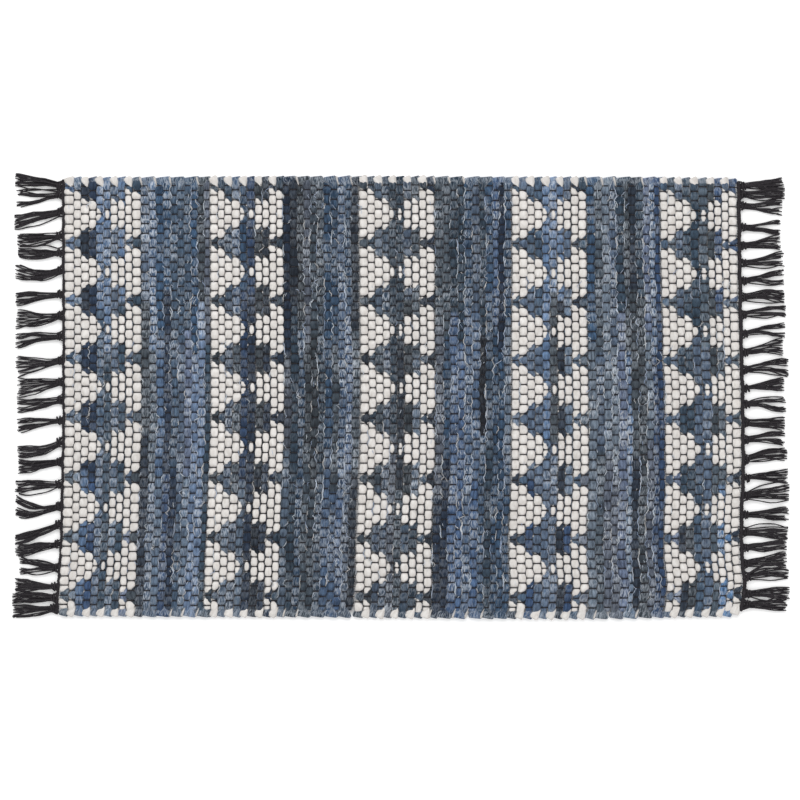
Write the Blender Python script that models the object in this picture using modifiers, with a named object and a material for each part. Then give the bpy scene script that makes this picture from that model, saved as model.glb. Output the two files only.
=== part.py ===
"""A woven rag rug: one flat body of cloth strips, with a knotted fringe along each short end.

Blender 4.5, in metres, +Z up. X runs along the warp, from fringe to fringe. Y runs across the
rug, along the strips. The origin is the middle of the rug, on the surface that it lies on.
"""
from collections import namedtuple

import bmesh
import bpy
from mathutils import Vector

MM = 0.001

# The weave sets the size: picks are the rows of cloth strip, and a pitch is from row to row.
PATTERNED_PICKS = 50
PATTERNED_PITCH = 11.65 * MM
DENIM_PICKS = 43
DENIM_PITCH = 10.1 * MM
BODY_LENGTH = PATTERNED_PICKS * PATTERNED_PITCH + DENIM_PICKS * DENIM_PITCH
BODY_WIDTH = 662 * MM
BODY_THICKNESS = 9 * MM
EDGE_ROUNDING = 2.5 * MM
EDGE_STEPS = 3
CELLS_ALONG = 30
CELLS_ACROSS = 24

# How far each short end stands out from a straight one, at places across the rug, in mm.
EndRow = namedtuple("EndRow", "across left right")
END_ROWS = (
    EndRow(-330, 8.5, 2.0),
    EndRow(-310, 8.0, 6.0),
    EndRow(-283, 6.5, 8.0),
    EndRow(-240, 3.5, 3.5),
    EndRow(-200, 1.5, 3.0),
    EndRow(-110, 0.0, 6.0),
    EndRow(-48, -1.5, 5.5),
    EndRow(0, -1.5, 5.0),
    EndRow(72, -1.5, 3.0),
    EndRow(147, -1.5, 1.5),
    EndRow(237, -1.0, 0.0),
    EndRow(330, -1.0, -1.0),
)

# How far each long side stands out from a straight one, at places along the rug, in mm.
SideRow = namedtuple("SideRow", "along near far")
SIDE_ROWS = (
    SideRow(-510, -3.0, 0.5),
    SideRow(-350, -2.0, 1.0),
    SideRow(-150, -1.5, 2.0),
    SideRow(0, 0.0, 2.0),
    SideRow(150, 1.0, 1.0),
    SideRow(300, 1.5, 1.0),
    SideRow(430, -1.5, 0.0),
    SideRow(490, -2.0, -1.0),
    SideRow(510, -7.0, -2.5),
)

# The heading is the yarn that closes each short end. The tassels are knotted against it.
HEADING_WIDTH = 4.2 * MM
HEADING_HEIGHT = 5 * MM
HEADING_INSET = 3 * MM
PIECE_GAP = 0.4 * MM

# Each tassel: where it leaves the heading, where its tips aim, how wide the tips spread and how
# far they reach past the heading, in mm.
Tassel = namedtuple("Tassel", "root aim spread reach")
LEFT_TASSELS = (
    Tassel(322, 328, 16, 66),
    Tassel(306, 301, 30, 64),
    Tassel(278, 266, 18, 67),
    Tassel(245, 237, 14, 63),
    Tassel(217, 216, 17, 62),
    Tassel(193, 194, 17, 66),
    Tassel(157, 149, 19, 66),
    Tassel(124, 118, 26, 66),
    Tassel(93, 89, 25, 66),
    Tassel(58, 46, 29, 66),
    Tassel(24, 15, 23, 64),
    Tassel(-2, -15, 22, 64),
    Tassel(-33, -40, 20, 65),
    Tassel(-65, -81, 17, 64),
    Tassel(-94, -104, 19, 61),
    Tassel(-128, -131, 19, 68),
    Tassel(-157, -162, 32, 66),
    Tassel(-190, -212, 12, 66),
    Tassel(-220, -229, 15, 64),
    Tassel(-254, -253, 24, 56),
    Tassel(-284, -283, 18, 60),
    Tassel(-301, -302, 10, 63),
    Tassel(-319, -324, 18, 62),
)
RIGHT_TASSELS = (
    Tassel(320, 321, 13, 62),
    Tassel(307, 306, 11, 63),
    Tassel(290, 284, 24, 59),
    Tassel(257, 256, 20, 56),
    Tassel(229, 234, 19, 56),
    Tassel(205, 205, 18, 61),
    Tassel(176, 181, 23, 60),
    Tassel(152, 151, 16, 59),
    Tassel(128, 128, 15, 61),
    Tassel(95, 100, 22, 60),
    Tassel(69, 75, 19, 57),
    Tassel(40, 45, 26, 62),
    Tassel(13, 19, 17, 57),
    Tassel(-10, -11, 25, 58),
    Tassel(-37, -42, 17, 56),
    Tassel(-63, -64, 18, 56),
    Tassel(-93, -85, 17, 59),
    Tassel(-120, -117, 19, 60),
    Tassel(-148, -142, 25, 63),
    Tassel(-178, -176, 19, 63),
    Tassel(-203, -203, 18, 63),
    Tassel(-227, -225, 16, 62),
    Tassel(-250, -244, 17, 61),
    Tassel(-270, -267, 16, 60),
    Tassel(-297, -295, 15, 62),
    Tassel(-312, -314, 16, 60),
)

# The shape that every tassel shares: how far out of the heading, how wide and how high, in mm,
# and the share of its lean and spread that it has reached there.
Station = namedtuple("Station", "out width height splay")
KNOT_STATIONS = (
    Station(-2.5, 5.0, 3.0, 0.0),
    Station(1.0, 7.5, 5.5, 0.0),
    Station(5.0, 9.5, 7.5, 0.05),
    Station(9.0, 8.5, 5.5, 0.12),
    Station(14.0, 7.0, 4.0, 0.2),
)
SPLAY_HEIGHT = 3.0 * MM
TIP_HEIGHT = 2.2 * MM
SPLAY_SHARE = 0.7

# A yarn bundle lies flat below and is round above: side in half widths, and up in heights.
BUNDLE_SECTION = ((-0.8, 0.0), (0.8, 0.0), (1.0, 0.45), (0.55, 1.0), (-0.55, 1.0), (-1.0, 0.45))

DENIM_COLOUR = (0.075, 0.125, 0.215, 1.0)
YARN_COLOUR = (0.022, 0.02, 0.023, 1.0)


def between(low, high, share):
    """The value that lies this share of the way from low to high."""
    return low + (high - low) * share


def read_off(rows, column, place):
    """A column of a table at a place in metres along it, eased from row to row."""
    place_mm = place / MM
    if place_mm <= rows[0][0]:
        return getattr(rows[0], column) * MM
    for low, high in zip(rows, rows[1:]):
        if place_mm <= high[0]:
            share = (place_mm - low[0]) / (high[0] - low[0])
            eased = share * share * (3 - 2 * share)
            return between(getattr(low, column), getattr(high, column), eased) * MM
    return getattr(rows[-1], column) * MM


def end_x(side, across):
    """X of the weave's short end at a place across the rug: side is -1 on the left, 1 on the right."""
    column = "left" if side < 0 else "right"
    return side * (BODY_LENGTH / 2 + read_off(END_ROWS, column, across))


def side_y(side, along):
    """Y of the weave's long side at a place along the rug: side is -1 on the near side, 1 on the far."""
    column = "near" if side < 0 else "far"
    return side * (BODY_WIDTH / 2 + read_off(SIDE_ROWS, column, along))


def weave_point(share_along, share_across):
    """A point of the weave, from its left end to its right and from its near side to its far."""
    straight_y = between(-BODY_WIDTH / 2, BODY_WIDTH / 2, share_across)
    x = between(end_x(-1, straight_y), end_x(1, straight_y), share_along)
    y = between(side_y(-1, x), side_y(1, x), share_across)
    return Vector((x, y, 0))


def make_material(name, colour, roughness):
    """A plain Principled cloth or yarn finish."""
    material = bpy.data.materials.new(name)
    material.use_nodes = True
    shader = material.node_tree.nodes["Principled BSDF"]
    shader.inputs["Base Color"].default_value = colour
    shader.inputs["Roughness"].default_value = roughness
    shader.inputs["Metallic"].default_value = 0.0
    return material


def make_object(name, shape, collection, material=None):
    """A named object from a bmesh, in its collection."""
    mesh = bpy.data.meshes.new(name)
    shape.to_mesh(mesh)
    shape.free()
    piece = bpy.data.objects.new(name, mesh)
    if material:
        mesh.materials.append(material)
    collection.objects.link(piece)
    return piece


def make_woven_body(collection, material):
    """The flat weave: a grid drawn out to the rug's uneven outline, thickened and rounded."""
    shape = bmesh.new()
    bmesh.ops.create_grid(shape, x_segments=CELLS_ALONG, y_segments=CELLS_ACROSS, size=1)
    for vert in shape.verts:
        vert.co = weave_point((vert.co.x + 1) / 2, (vert.co.y + 1) / 2)
    body = make_object("woven_body", shape, collection, material)
    solidify = body.modifiers.new("Thickness", "SOLIDIFY")
    solidify.thickness = BODY_THICKNESS
    solidify.offset = 1
    bevel = body.modifiers.new("Edge rounding", "BEVEL")
    bevel.width = EDGE_ROUNDING
    bevel.segments = EDGE_STEPS
    bevel.limit_method = "ANGLE"
    return body


def bundle_section(centre, sideways, width, height):
    """The points of a yarn bundle's section about a centre on the surface."""
    up = Vector((0, 0, height))
    return [centre + sideways * (side * width / 2) + up * rise for side, rise in BUNDLE_SECTION]


def loft(shape, sections):
    """Walls between sections of equal point count, closed by a cap at each end."""
    rings = [[shape.verts.new(point) for point in section] for section in sections]
    for ring, following in zip(rings, rings[1:]):
        for index, vert in enumerate(ring):
            before = index - 1
            shape.faces.new((ring[before], vert, following[index], following[before]))
    shape.faces.new(rings[0])
    shape.faces.new(rings[-1])


def face_outwards(shape):
    """Turns every face of a closed shape outwards."""
    bmesh.ops.recalc_face_normals(shape, faces=shape.faces)


def make_heading(name, side, collection, material):
    """The heading yarn, which lies against one short end of the weave."""
    outwards = Vector((side, 0, 0))
    centres = []
    for step in range(CELLS_ACROSS + 1):
        edge = weave_point((side + 1) / 2, step / CELLS_ACROSS)
        centres.append(edge + outwards * (PIECE_GAP + HEADING_WIDTH / 2))
    centres[0].y += HEADING_INSET
    centres[-1].y -= HEADING_INSET
    sections = [bundle_section(centre, outwards, HEADING_WIDTH, HEADING_HEIGHT) for centre in centres]
    shape = bmesh.new()
    loft(shape, sections)
    face_outwards(shape)
    return make_object(name, shape, collection, material)


def tassel_sections(tassel, side):
    """The sections of one tassel, from inside the heading, through the knot, to the tips."""
    start_x = end_x(side, tassel.root * MM) + side * (PIECE_GAP + HEADING_WIDTH)
    stations = [
        (row.out * MM, between(row.width, tassel.spread, row.splay) * MM, row.height * MM, row.splay)
        for row in KNOT_STATIONS
    ]
    reach = tassel.reach * MM
    neck_width = KNOT_STATIONS[-1].width
    splay_width = between(neck_width, tassel.spread, SPLAY_SHARE) * MM
    stations.append((reach * SPLAY_SHARE, splay_width, SPLAY_HEIGHT, SPLAY_SHARE))
    stations.append((reach, tassel.spread * MM, TIP_HEIGHT, 1.0))
    sections = []
    for out, width, height, splay in stations:
        across = between(tassel.root, tassel.aim, splay) * MM
        centre = Vector((start_x + side * out, across, 0))
        sections.append(bundle_section(centre, Vector((0, 1, 0)), width, height))
    return sections


def make_fringe(name, side, tassels, collection, cutters, material):
    """One comb: the heading yarn with every knotted tassel of that end joined to it."""
    shape = bmesh.new()
    for tassel in tassels:
        loft(shape, tassel_sections(tassel, side))
    face_outwards(shape)
    teeth = make_object(f"{name}_teeth", shape, cutters)
    teeth.hide_render = True
    teeth.display_type = "WIRE"
    comb = make_heading(name, side, collection, material)
    union = comb.modifiers.new("Tassels", "BOOLEAN")
    union.operation = "UNION"
    union.solver = "EXACT"
    union.object = teeth
    return comb


def clear_scene():
    """Removes the objects that a new scene starts with."""
    for existing in list(bpy.data.objects):
        bpy.data.objects.remove(existing, do_unlink=True)


def new_collection(name):
    """A collection linked to the scene."""
    collection = bpy.data.collections.new(name)
    bpy.context.scene.collection.children.link(collection)
    return collection


def main():
    clear_scene()
    rug = new_collection("Rag rug")
    cutters = new_collection("Joined shapes")
    denim = make_material("Denim strips", DENIM_COLOUR, 0.9)
    yarn = make_material("Black yarn", YARN_COLOUR, 0.85)
    make_woven_body(rug, denim)
    make_fringe("fringe_left", -1, LEFT_TASSELS, rug, cutters, yarn)
    make_fringe("fringe_right", 1, RIGHT_TASSELS, rug, cutters, yarn)


main()
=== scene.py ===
# %% [markdown]
# # A woven rag rug, one strip of cloth at a time
#
# A rag rug is cloth strips beaten down on a strong black warp. The warp yarns run the long way of
# this rug, and every strip crosses them, over one yarn and under the next. Nothing about it is a
# flat sheet: what is seen is the bulge of each strip between two warp yarns.
# A bump map could fake that from above, but not from the side. So every strip and every yarn here
# is a tube of its own, modelled once as a straight one, copied, and laid along its route.

# %% Load the fixed frame
import math
from collections import namedtuple

import bmesh
import bpy
import numpy as np
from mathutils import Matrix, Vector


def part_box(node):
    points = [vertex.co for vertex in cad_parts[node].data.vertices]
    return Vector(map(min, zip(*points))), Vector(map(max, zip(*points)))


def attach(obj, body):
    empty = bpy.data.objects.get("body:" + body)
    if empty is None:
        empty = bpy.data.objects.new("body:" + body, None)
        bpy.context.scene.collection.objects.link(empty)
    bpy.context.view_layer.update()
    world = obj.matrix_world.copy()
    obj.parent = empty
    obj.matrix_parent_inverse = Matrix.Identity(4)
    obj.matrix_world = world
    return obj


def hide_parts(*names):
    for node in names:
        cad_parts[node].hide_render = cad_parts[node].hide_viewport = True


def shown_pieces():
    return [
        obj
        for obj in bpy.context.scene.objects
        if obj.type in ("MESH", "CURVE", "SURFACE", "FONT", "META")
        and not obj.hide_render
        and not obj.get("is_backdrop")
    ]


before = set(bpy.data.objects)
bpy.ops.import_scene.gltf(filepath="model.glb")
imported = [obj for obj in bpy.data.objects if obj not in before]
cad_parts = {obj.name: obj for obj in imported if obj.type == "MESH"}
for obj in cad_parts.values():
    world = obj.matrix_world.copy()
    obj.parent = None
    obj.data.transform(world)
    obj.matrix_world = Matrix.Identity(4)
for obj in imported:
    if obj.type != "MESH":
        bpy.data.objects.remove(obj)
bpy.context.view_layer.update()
MM = 0.001
RANDOM = np.random.default_rng(26)

# %% [markdown]
# ## The outline
#
# The rug was laid by hand, so its ends bow and its sides waver by a few millimetres. Two short
# tables say by how much, the same ones that shaped the solid in the frame. A place on a perfectly
# straight weave is carried onto that outline, and everything below is laid out on the straight one.

# %% The size of the weave, and how far its edges stray from it
body_low, body_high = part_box("woven_body")
BODY_THICKNESS = body_high[2] - body_low[2]
BODY_WIDTH = 662 * MM
BODY_LENGTH = 1016.8 * MM

EndRow = namedtuple("EndRow", "across left right")
END_ROWS = (
    EndRow(-330, 8.5, 2.0),
    EndRow(-310, 8.0, 6.0),
    EndRow(-283, 6.5, 8.0),
    EndRow(-240, 3.5, 3.5),
    EndRow(-200, 1.5, 3.0),
    EndRow(-110, 0.0, 6.0),
    EndRow(-48, -1.5, 5.5),
    EndRow(0, -1.5, 5.0),
    EndRow(72, -1.5, 3.0),
    EndRow(147, -1.5, 1.5),
    EndRow(237, -1.0, 0.0),
    EndRow(330, -1.0, -1.0),
)

SideRow = namedtuple("SideRow", "along near far")
SIDE_ROWS = (
    SideRow(-510, -3.0, 0.5),
    SideRow(-350, -2.0, 1.0),
    SideRow(-150, -1.5, 2.0),
    SideRow(0, 0.0, 2.0),
    SideRow(150, 1.0, 1.0),
    SideRow(300, 1.5, 1.0),
    SideRow(430, -1.5, 0.0),
    SideRow(490, -2.0, -1.0),
    SideRow(510, -7.0, -2.5),
)
print("weave", np.round(np.array(body_high) - np.array(body_low), 4))


# %% From a straight weave to the rug's own outline
def read_off(rows, column, places):
    """A column of a table, in metres, at places in metres along it, eased from row to row."""
    known = np.array([row[0] for row in rows]) * MM
    values = np.array([getattr(row, column) for row in rows]) * MM
    row = np.clip(np.searchsorted(known, places) - 1, 0, len(rows) - 2)
    share = np.clip((places - known[row]) / (known[row + 1] - known[row]), 0, 1)
    return values[row] + (values[row + 1] - values[row]) * share * share * (3 - 2 * share)


def on_outline(along, across):
    """X and Y on the uneven rug, for places on a straight one, in metres from its middle."""
    left = -BODY_LENGTH / 2 - read_off(END_ROWS, "left", across)
    right = BODY_LENGTH / 2 + read_off(END_ROWS, "right", across)
    x = left + (right - left) * (along + BODY_LENGTH / 2) / BODY_LENGTH
    near = -BODY_WIDTH / 2 - read_off(SIDE_ROWS, "near", x)
    far = BODY_WIDTH / 2 + read_off(SIDE_ROWS, "far", x)
    return x, near + (far - near) * (across + BODY_WIDTH / 2) / BODY_WIDTH


def placed(along, across, height):
    """Points on the rug from places on the straight weave."""
    x, y = on_outline(along, across)
    return np.column_stack((x, y, height))


far_left = placed(np.array([-BODY_LENGTH / 2]), np.array([BODY_WIDTH / 2]), np.zeros(1))
print("the far left corner is at", np.round(far_left[0], 4))

# %% [markdown]
# Hand work is never quite straight. One soft, seeded wander does for all of it: three sine waves of
# falling size and length. A noise texture would do as well, but needs a place to be read at.

# %% A slow wander
OCTAVES = (1.0, 0.53, 0.31)


def slow_waver(places, size, wavelength):
    """A soft, seeded wander about zero, for a list of places in metres."""
    total = np.zeros(len(places))
    for octave in OCTAVES:
        phase = RANDOM.uniform(0, 2 * math.pi)
        total += octave * np.sin(2 * math.pi * places / (wavelength * octave) + phase)
    return size * total / sum(OCTAVES)


def about(size, count=None):
    """A random factor near one, or several: one, give or take the size."""
    return 1 + size * RANDOM.uniform(-1, 1, count)


print("three waves add up to", sum(OCTAVES))

# %% [markdown]
# ## The draft of the weave
#
# A weaver's draft is short: the order of the bands, how wide each row (pick) of strip is beaten in
# it, and where the warp yarns lie. The widths are shares of the band, so only their ratios count.
# Depth is how light the band's denim is against the dye chart, and wear is how frayed it is.
# The warp table gives the place of every twelfth yarn and of the two outermost, because twelve make
# one repeat of the figures.

# %% Bands, picks and warp yarns
Band = namedtuple("Band", "name figured start end depth wear widths")
BANDS = (
    Band("band_1", True, -505.5, -390.5, 0.96, 1.0, "9.5 7.1 8 7.6 7.2 7.2 7.5 7 7.5 8.9"),
    Band("band_2", False, -390.5, -287.5, 0.86, 1.4, "8 7.2 7.5 7 7.2 6.5 7 6.5 7 5.2"),
    Band("band_3", True, -286.0, -176.5, 0.62, 1.0, "7.9 6.8 7.7 8 7.4 8.3 7.8 7.1 7.7 6.9"),
    Band("band_4", False, -176.5, -63.5, 0.58, 1.1, "6.6 7.2 6.1 6.4 6.4 6.8 7.3 6.3 7 6.2 7"),
    Band("band_5", True, -61.5, 49.5, 0.58, 0.9, "8.3 7.4 7.8 7.3 7 7.5 8.5 7.9 7.6 8.1"),
    Band("band_6", False, 50.5, 163.0, 0.64, 0.9, "7.8 6.7 7.8 6.5 7.7 7.5 6 6.8 5.7 5.8 6.5"),
    Band("band_7", True, 164.5, 279.0, 1.0, 1.1, "7.7 8.5 7.7 8.3 7.5 7.7 7.5 7.7 8.3 8"),
    Band("band_8", False, 280.0, 392.5, 0.84, 1.8, "8 7.5 7.3 6.4 8.3 5.1 6.7 7.5 6.5 5.2 5"),
    Band("band_9", True, 394.0, 507.0, 0.95, 1.0, "7 7.8 7.2 8 8.1 9 6.7 7.3 7.1 8.2"),
)

WarpRow = namedtuple("WarpRow", "warp across")
WARP_ROWS = (
    WarpRow(-6, 318.0),
    WarpRow(0, 274.7),
    WarpRow(12, 187.5),
    WarpRow(24, 100.3),
    WarpRow(36, 13.2),
    WarpRow(48, -77.0),
    WarpRow(60, -168.7),
    WarpRow(72, -255.9),
    WarpRow(80, -314.5),
)
WARPS = np.arange(WARP_ROWS[0].warp, WARP_ROWS[-1].warp + 1)
WARP_ACROSS = MM * np.interp(WARPS, [r.warp for r in WARP_ROWS], [r.across for r in WARP_ROWS])
LAST_YARN = len(WARPS) - 1

Pick = namedtuple("Pick", "number band column centre width")


def list_picks():
    """Every pick of the rug, from left to right, each with its own width."""
    picks = []
    for band in BANDS:
        shares = np.array([float(width) for width in band.widths.split()])
        edges = band.start + (band.end - band.start) * np.insert(np.cumsum(shares) / shares.sum(), 0, 0)
        for column, (start, end) in enumerate(zip(edges, edges[1:])):
            picks.append(Pick(len(picks), band, column, (start + end) / 2 * MM, (end - start) * MM))
    return picks


PICKS = list_picks()
PICKS_OF = {band.name: [pick for pick in PICKS if pick.band is band] for band in BANDS}
print(len(PICKS), "picks on", len(WARPS), "warp yarns")

# %% [markdown]
# Where the yarns really cross the strips is worked out once, as a grid of places. Strips and yarns
# both read it, so they always meet. The weave is plain: a strip goes over the yarn where the sum
# of their two numbers is odd.
#
# The beater was never quite square to the warp, so the picks sway a few millimetres along the rug.
# The sway table says how much, at three heights and at four places along. In the plain bands
# neighbouring strips also take room from one another as their thickness changes. The yarns slant a
# little towards the ends, and jump a little from pick to pick.

# %% The grid of crossings
SwayRow = namedtuple("SwayRow", "across left inner_left inner_right right")
SWAY_ALONG = np.array((-508, -285, -60, 165, 395, 508)) * MM
SWAY_ROWS = (
    SwayRow(-226, -4.4, -4.4, -1.5, 1.5),
    SwayRow(0, 0.0, 0.0, 0.0, 0.0),
    SwayRow(232, 0.0, 0.0, 4.0, -2.0),
)
FIGURED_WAVER = 0.5 * MM
PLAIN_WAVER = 1.7 * MM
EDGE_WAVELENGTH = 0.14
LEAST_WIDTH = 6 * MM
WARP_SLANT = 1.7 * MM
WARP_JITTER = 0.45 * MM
WARP_WAVER = 0.5 * MM
WARP_WAVELENGTH = 0.4


def sway_at(along):
    """How far a pick at that place along sways at every warp yarn."""
    known = np.array([row.across for row in SWAY_ROWS]) * MM
    at_rows = [MM * np.interp(along, SWAY_ALONG, (0, *row[1:], 0)) for row in SWAY_ROWS]
    return np.interp(WARP_ACROSS, known, at_rows)


def wavering_edge(along, waver):
    """X of the line between two picks at every warp yarn."""
    return along + sway_at(along) + slow_waver(WARP_ACROSS, waver, EDGE_WAVELENGTH)


pick_start = np.zeros((len(PICKS), len(WARPS)))
pick_end = np.zeros((len(PICKS), len(WARPS)))
for pick in PICKS:
    inside = pick.column > 0
    waver = PLAIN_WAVER if inside and not pick.band.figured else FIGURED_WAVER
    pick_start[pick.number] = wavering_edge(pick.centre - pick.width / 2, waver)
    if inside:
        pick_end[pick.number - 1] = pick_start[pick.number]
    pick_end[pick.number] = wavering_edge(pick.centre + pick.width / 2, FIGURED_WAVER)
crossing_along = (pick_start + pick_end) / 2
crossing_width = np.maximum(pick_end - pick_start, LEAST_WIDTH)

pick_centres = np.array([pick.centre for pick in PICKS])
crossing_across = np.zeros((len(PICKS), len(WARPS)))
for index, across in enumerate(WARP_ACROSS):
    slant = -WARP_SLANT * pick_centres / (BODY_LENGTH / 2) * math.cos(math.pi * across / BODY_WIDTH)
    jitter = WARP_JITTER * RANDOM.uniform(-1, 1, len(PICKS))
    waver = slow_waver(pick_centres, WARP_WAVER, WARP_WAVELENGTH)
    crossing_across[:, index] = across + slant + jitter + waver
strip_over = (np.arange(len(PICKS))[:, None] + WARPS[None, :]) % 2 == 1
print(strip_over.size, "crossings")

# %% [markdown]
# ## One straight tube
#
# Strips, yarns and tassel strands are all long soft tubes. Blender's cylinder is a start: its long
# edges are subdivided in edit mode to give it rings. A curve with a bevel would be the usual way,
# but a strip is wide, then narrow, then wide again, and its section is a flat cushion, so moving
# the rings of a mesh tube gives more say over the shape.

# %% Model the tube with edit mode operators
Tube = namedtuple("Tube", "mesh sides rings ring side loop_ring loop_turn loop_cap")
MOST_CUTS = 100  # the subdivide operator makes no more than this at once


def cut_cylinder(sides, rings):
    """A cylinder one metre long whose long edges are cut into rings, as a mesh."""
    bpy.ops.object.select_all(action="DESELECT")
    bpy.ops.mesh.primitive_cylinder_add(vertices=sides, radius=1, depth=1, end_fill_type="NGON")
    piece = bpy.context.object
    bpy.ops.object.mode_set(mode="EDIT")
    bpy.ops.mesh.select_mode(type="EDGE")
    bpy.ops.mesh.select_all(action="DESELECT")
    spans = rings - 1
    coarse = next(step for step in range(1, spans + 1) if spans % step == 0 and spans // step <= MOST_CUTS)
    for parts in (coarse, spans // coarse):
        if parts > 1:
            shape = bmesh.from_edit_mesh(piece.data)
            for edge in shape.edges:
                edge.select_set(abs(edge.verts[0].co.z - edge.verts[1].co.z) > 0.5 / spans)
            bmesh.update_edit_mesh(piece.data)
            bpy.ops.mesh.subdivide(number_cuts=parts - 1)
            bpy.ops.mesh.select_all(action="DESELECT")
    bpy.ops.mesh.select_mode(type="VERT")
    bpy.ops.object.mode_set(mode="OBJECT")
    bpy.ops.object.shade_smooth()
    mesh = piece.data.copy()
    for layer in list(mesh.uv_layers):
        mesh.uv_layers.remove(layer)
    bpy.data.objects.remove(piece, do_unlink=True)
    return mesh


def model_tube(name, sides, rings):
    """A straight tube with that many sides and rings, and where each vertex and corner is on it."""
    mesh = cut_cylinder(sides, rings)
    mesh.name = name
    places = np.zeros(len(mesh.vertices) * 3)
    mesh.vertices.foreach_get("co", places)
    x, y, z = places.reshape(-1, 3).T
    ring = np.rint((z + 0.5) * (rings - 1)).astype(int)
    side = np.rint(np.arctan2(y, x) / (2 * math.pi) * sides).astype(int) % sides
    corner = np.zeros(len(mesh.loops), int)
    mesh.loops.foreach_get("vertex_index", corner)
    starts, totals = np.zeros(len(mesh.polygons), int), np.zeros(len(mesh.polygons), int)
    mesh.polygons.foreach_get("loop_start", starts)
    mesh.polygons.foreach_get("loop_total", totals)
    loop_ring, turn = ring[corner], side[corner] / sides
    flat = np.maximum.reduceat(loop_ring, starts) == np.minimum.reduceat(loop_ring, starts)
    wraps = np.maximum.reduceat(turn, starts) - np.minimum.reduceat(turn, starts) > 0.5
    cap = np.repeat(flat, totals)
    turn = np.where(np.repeat(wraps, totals) & ~cap & (turn < 0.5), turn + 1, turn)
    print(f"{name} tube: {len(mesh.vertices)} vertices")
    return Tube(mesh, sides, rings, ring, side, loop_ring, turn, cap)


STRIP_RINGS = 3 * len(WARPS) + 4
strip_tube = model_tube("strip", 10, STRIP_RINGS)

# %% [markdown]
# A copy of the tube is laid along a route: each ring gets a centre, a sideways and an upward
# direction, a half width and a half height. The section is a superellipse, a circle that has been
# squared off a little, which is how folded cloth lies under tension. A low random swelling at every
# vertex makes it lumpy.

# %% Lay a copy of the tube on a route
RIGHT = np.array((1.0, 0.0, 0.0))
UP = np.array((0.0, 0.0, 1.0))


def unit(vectors):
    """Vectors of length one."""
    return vectors / np.maximum(np.linalg.norm(vectors, axis=-1, keepdims=True), 1e-9)


def level_frame(centres, above=UP):
    """The sideways and upward directions at each ring. With the way along, they are right-handed."""
    way = unit(np.gradient(centres, axis=0))
    sideways = unit(np.cross(above, way))
    return sideways, np.cross(way, sideways)


def side_angle(tube, side):
    """The angle of a side of the tube, where the first one and the last one straddle its underside."""
    return -math.pi / 2 + (side + 0.5) * 2 * math.pi / tube.sides


def laid_tube(tube, centres, sideways, upwards, half_widths, half_heights, square, lumps):
    """A copy of the tube on a route."""
    angles = side_angle(tube, np.arange(tube.sides))
    out = np.sign(np.cos(angles)) * np.abs(np.cos(angles)) ** square
    up = np.sign(np.sin(angles)) * np.abs(np.sin(angles)) ** square
    grow = about(lumps, (tube.rings, tube.sides))
    sideways = np.broadcast_to(sideways, centres.shape)[:, None, :]
    upwards = np.broadcast_to(upwards, centres.shape)[:, None, :]
    across = (half_widths[:, None] * out * grow)[:, :, None] * sideways
    rise = (half_heights[:, None] * up * grow)[:, :, None] * upwards
    grid = centres[:, None, :] + across + rise
    mesh = tube.mesh.copy()
    mesh.vertices.foreach_set("co", grid[tube.ring, tube.side].astype(np.float32).ravel())
    piece = bpy.data.objects.new(tube.mesh.name, mesh)
    bpy.context.scene.collection.objects.link(piece)
    return piece


print("a strip has", strip_tube.rings, "rings of", strip_tube.sides, "sides")

# %% [markdown]
# Each copy carries two UV maps. "Strip" is in metres, round and along the strip, and drives the
# cloth's patterns. "OFBake" puts the strips of one piece side by side in the unit square, so that
# their colours can also be stored in a picture without overlaps. The strip's colour and its wear go
# in attributes, one value at each ring, because a picture would be much larger than they are.

# %% Maps, colour and wear
BAKE_MARGIN = 0.02


def write_map(piece, name, u, v):
    """A UV map with a place for each face corner."""
    piece.data.uv_layers.new(name=name).data.foreach_set("uv", np.column_stack((u, v)).ravel())


def map_tube(piece, tube, centres, girth, slot, slots):
    """The strip's own map in metres, and its column of the map that stores pictures."""
    steps = np.linalg.norm(np.diff(centres, axis=0), axis=1)
    lengths = np.insert(np.cumsum(steps), 0, 0)
    far_off = RANDOM.uniform(0, 9, 2)
    cap_u, cap_v = np.cos(2 * math.pi * tube.loop_turn), np.sin(2 * math.pi * tube.loop_turn)
    u = np.where(tube.loop_cap, 0.5 + 0.5 * cap_u, tube.loop_turn) * girth
    v = lengths[tube.loop_ring] + np.where(tube.loop_cap, 0.5 * girth * cap_v, 0)
    write_map(piece, "Strip", u + far_off[0], v + far_off[1])

    end_v = np.where(tube.loop_ring > 0, 1 - BAKE_MARGIN / 2, BAKE_MARGIN / 2)
    side_v = BAKE_MARGIN + (1 - 2 * BAKE_MARGIN) * lengths[tube.loop_ring] / lengths[-1]
    u = np.where(tube.loop_cap, 0.5 + 0.3 * cap_u, 0.05 + 0.9 * tube.loop_turn)
    v = np.where(tube.loop_cap, end_v + 0.35 * BAKE_MARGIN * cap_v, side_v)
    write_map(piece, "OFBake", (slot + u) / slots, v)


def lay(tube, centres, frame_of_rings, size, girth, slot, square=1.0, lumps=0.0):
    """A mapped copy of the tube. Size is half widths and half heights, slot a number and how many."""
    part = laid_tube(tube, centres, *frame_of_rings, *size, square, lumps)
    map_tube(part, tube, centres, girth, *slot)
    return part


WEAR_ON_TOP = 0.45
WEAR_AT_EDGES = 0.75


def dye_tube(piece, tube, colours, wear=0.0):
    """A colour at each ring, and a share of fraying, which is greatest along the strip's edges."""
    dye = piece.data.attributes.new("Dye", "FLOAT_COLOR", "POINT")
    rows = np.ones((tube.rings, 4))
    rows[:, :3] = colours
    dye.data.foreach_set("color", rows[tube.ring].astype(np.float32).ravel())
    edge = WEAR_ON_TOP + WEAR_AT_EDGES * np.abs(np.cos(side_angle(tube, tube.side))) ** 2
    frayed = piece.data.attributes.new("Wear", "FLOAT", "POINT")
    wear_at_rings = np.broadcast_to(wear, tube.rings)
    frayed.data.foreach_set("value", (wear_at_rings[tube.ring] * edge).astype(np.float32))


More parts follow.
